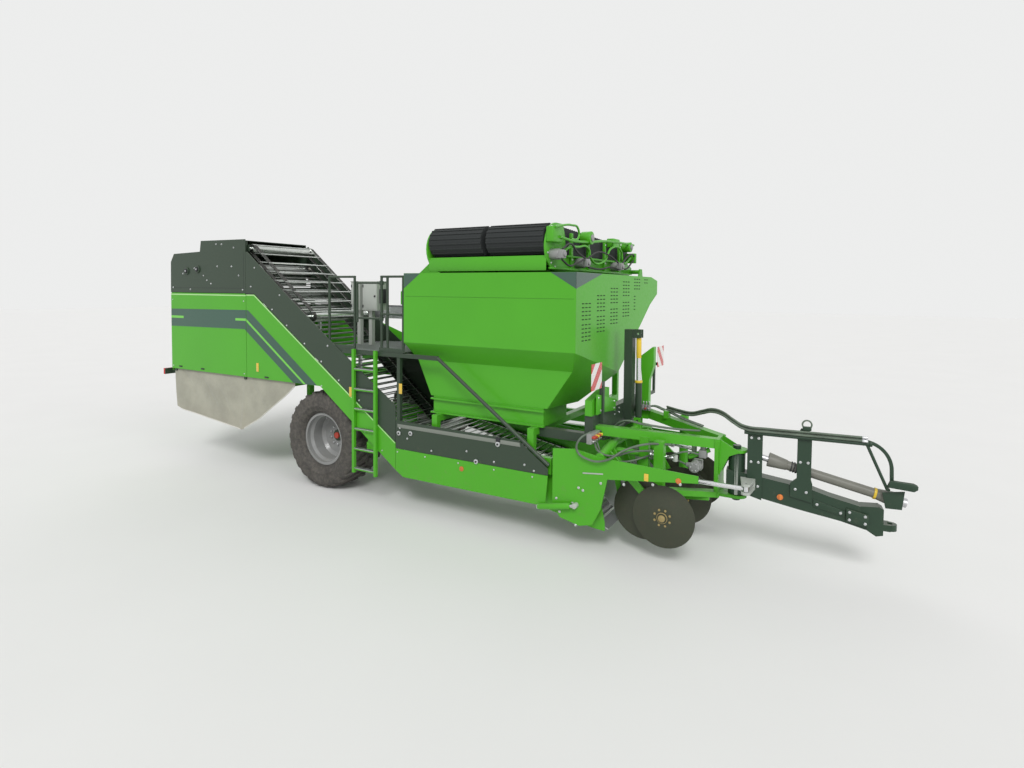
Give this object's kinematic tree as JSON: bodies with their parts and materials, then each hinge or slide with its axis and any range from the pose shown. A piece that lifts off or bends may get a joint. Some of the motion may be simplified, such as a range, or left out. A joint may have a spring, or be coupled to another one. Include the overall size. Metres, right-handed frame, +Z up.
{
  "type": "trailed two-row potato harvester",
  "caption": "Trailed potato harvester with a digging unit in front, bar webs up to a cleaning unit, picking platform, offset bunker and folded discharge conveyor.",
  "frame": {"origin": "on the ground under the middle of the whole machine", "axes": "+X forward to the drawbar, +Y to the left, +Z up"},
  "size_m": [10.7015, 3, 3.56],
  "materials": {
    "bright_green": "gloss enamel with dust and light scratches",
    "dark_green": "satin dark green enamel",
    "steel": "bare worn steel",
    "silver": "silver wheel paint",
    "tyre": "matt ribbed rubber",
    "belt_rubber": "ribbed belt rubber",
    "web_steel": "soil-polished bars",
    "black_plastic": "moulded guard",
    "hose_rubber": "smooth hydraulic hose",
    "cloth": "coated canvas",
    "light_grey": "light grey enamel",
    "white_red": "reflective sheet",
    "red_lens": "moulded lens"
  },
  "bodies": {
    "chassis": {"chassis": "bright_green", "front_frame": "bright_green", "cross_beam": "dark_green", "rear_frame": "dark_green", "axle": "bright_green", "parking_leg_tube": "bright_green", "second_web": "web_steel", "haulm_web": "web_steel", "elevator_sides": "dark_green", "skirt": "bright_green", "skirt_band": "dark_green", "side_panel": "bright_green", "rear_covers": "dark_green", "rear_housing": "bright_green", "cross_conveyor": "belt_rubber", "cloth_skirt": "cloth", "platform": "dark_green", "railing": "dark_green", "ladder": "bright_green", "cabinets": "light_grey", "picking_table": "steel", "filling_elevator": "bright_green", "bunker": "bright_green", "bunker_trough": "bright_green", "warning_plates": "white_red", "rear_lamps": "red_lens"},
    "knuckle_right": {"knuckle_right": "steel"},
    "knuckle_left": {"knuckle_left": "steel"},
    "wheel_right": {"tyre_right": "tyre", "rim_right": "silver"},
    "wheel_left": {"tyre_left": "tyre", "rim_left": "silver"},
    "drawbar": {"drawbar": "dark_green", "hitch_head": "dark_green", "hose_hoop": "dark_green", "hose_bundle": "hose_rubber", "pto_guard": "black_plastic"},
    "pto_shaft": {"pto_shaft": "steel"},
    "steer_barrel": {"steer_barrel": "dark_green"},
    "steer_rod": {"steer_rod": "steel"},
    "parking_leg": {"parking_leg": "steel"},
    "digging_unit": {"digging_frame": "bright_green", "shares": "steel", "first_web": "web_steel"},
    "lift_barrel": {"lift_barrel": "dark_green"},
    "lift_rod": {"lift_rod": "steel"},
    "discharge_conveyor": {"discharge_frame": "bright_green", "discharge_belt": "belt_rubber"},
    "rear_door": {"rear_door": "bright_green"},
    "gate": {"gate": "dark_green"},
    "disc_1": {"disc_1": "steel"},
    "disc_2": {"disc_2": "steel"},
    "disc_3": {"disc_3": "steel"},
    "disc_4": {"disc_4": "steel"},
    "disc_5": {"disc_5": "steel"},
    "ridge_roller_1": {"ridge_roller_1": "steel"},
    "ridge_roller_2": {"ridge_roller_2": "steel"}
  },
  "joints": [
    {"name": "steer_right", "type": "hinge", "parent": "chassis", "child": "knuckle_right", "pos_m": [-1.65, -0.7, 0.685], "axis": [0, 0, 1], "range_deg": [-12, 12]},
    {"name": "steer_left", "type": "hinge", "parent": "chassis", "child": "knuckle_left", "pos_m": [-1.65, 0.7, 0.685], "axis": [0, 0, 1], "range_deg": [-12, 12]},
    {"name": "spin_right", "type": "hinge", "parent": "knuckle_right", "child": "wheel_right", "pos_m": [-1.65, -1.105, 0.685], "axis": [0, 1, 0], "continuous": true},
    {"name": "spin_left", "type": "hinge", "parent": "knuckle_left", "child": "wheel_left", "pos_m": [-1.65, 1.105, 0.685], "axis": [0, 1, 0], "continuous": true},
    {"name": "drawbar_swing", "type": "hinge", "parent": "chassis", "child": "drawbar", "pos_m": [3.75, -0.6, 0.7], "axis": [0, 0, 1], "range_deg": [-19, 12]},
    {"name": "pto_spin", "type": "hinge", "parent": "drawbar", "child": "pto_shaft", "pos_m": [3.91873, -0.57928, 1.1], "axis": [0.9673, 0.1188, -0.2242], "continuous": true},
    {"name": "steer_barrel_turn", "type": "hinge", "parent": "chassis", "child": "steer_barrel", "pos_m": [2.87, -0.905, 0.82], "axis": [0, 0, 1], "range_deg": [-2.55, 1.79]},
    {"name": "steer_rod_stroke", "type": "slide", "parent": "steer_barrel", "child": "steer_rod", "axis": [0.9998, 0.0191, 0], "range_m": [-0.103, 0.0669]},
    {"name": "leg_lift", "type": "slide", "parent": "chassis", "child": "parking_leg", "axis": [0, 0, 1], "range_m": [0, 0.45]},
    {"name": "dig_lower", "type": "hinge", "parent": "chassis", "child": "digging_unit", "pos_m": [-0.2, 0, 0.85], "axis": [0, 1, 0], "range_deg": [0, 6]},
    {"name": "lift_barrel_turn", "type": "hinge", "parent": "digging_unit", "child": "lift_barrel", "pos_m": [2.55, 0, 1.24], "axis": [0, 1, 0], "range_deg": [-7.71, 0.5]},
    {"name": "lift_rod_stroke", "type": "slide", "parent": "lift_barrel", "child": "lift_rod", "axis": [-0.0095, 0, 1], "range_m": [-0.005, 0.2947]},
    {"name": "disc_spin_1", "type": "hinge", "parent": "digging_unit", "child": "disc_1", "pos_m": [3.16, -1.29, 0.51], "axis": [0, 1, 0], "continuous": true},
    {"name": "disc_spin_2", "type": "hinge", "parent": "digging_unit", "child": "disc_2", "pos_m": [2.915, -1.18, 0.51], "axis": [0, 1, 0], "continuous": true},
    {"name": "disc_spin_3", "type": "hinge", "parent": "digging_unit", "child": "disc_3", "pos_m": [3.16, -0.54, 0.51], "axis": [0, 1, 0], "continuous": true},
    {"name": "disc_spin_4", "type": "hinge", "parent": "digging_unit", "child": "disc_4", "pos_m": [2.915, 0.1, 0.51], "axis": [0, 1, 0], "continuous": true},
    {"name": "disc_spin_5", "type": "hinge", "parent": "digging_unit", "child": "disc_5", "pos_m": [3.16, 0.21, 0.51], "axis": [0, 1, 0], "continuous": true},
    {"name": "ridge_spin_1", "type": "hinge", "parent": "digging_unit", "child": "ridge_roller_1", "pos_m": [2.64, -0.915, 0.62], "axis": [0, 1, 0], "continuous": true},
    {"name": "ridge_spin_2", "type": "hinge", "parent": "digging_unit", "child": "ridge_roller_2", "pos_m": [2.64, -0.165, 0.62], "axis": [0, 1, 0], "continuous": true},
    {"name": "discharge_fold", "type": "hinge", "parent": "chassis", "child": "discharge_conveyor", "pos_m": [1.05, 1.33, 3.08], "axis": [-1, 0, 0], "range_deg": [0, 140]},
    {"name": "rear_door_swing", "type": "hinge", "parent": "chassis", "child": "rear_door", "pos_m": [-4.13, -1.444, 2.708], "axis": [-1, 0, 0], "range_deg": [0, 80]},
    {"name": "gate_swing", "type": "hinge", "parent": "chassis", "child": "gate", "pos_m": [-0.48, -1.422, 2.6], "axis": [0, 0, -1], "range_deg": [0, 90]}
  ],
  "couplings": [
    {"joint": "steer_left", "follows": "steer_right", "ratio": 1},
    {"joint": "steer_barrel_turn", "follows": "drawbar_swing", "ratio": 0.10785},
    {"joint": "steer_rod_stroke", "follows": "drawbar_swing", "m_per_rad": 0.29561},
    {"joint": "lift_barrel_turn", "follows": "dig_lower", "ratio": -1.201},
    {"joint": "lift_rod_stroke", "follows": "dig_lower", "m_per_rad": 2.7669}
  ]
}
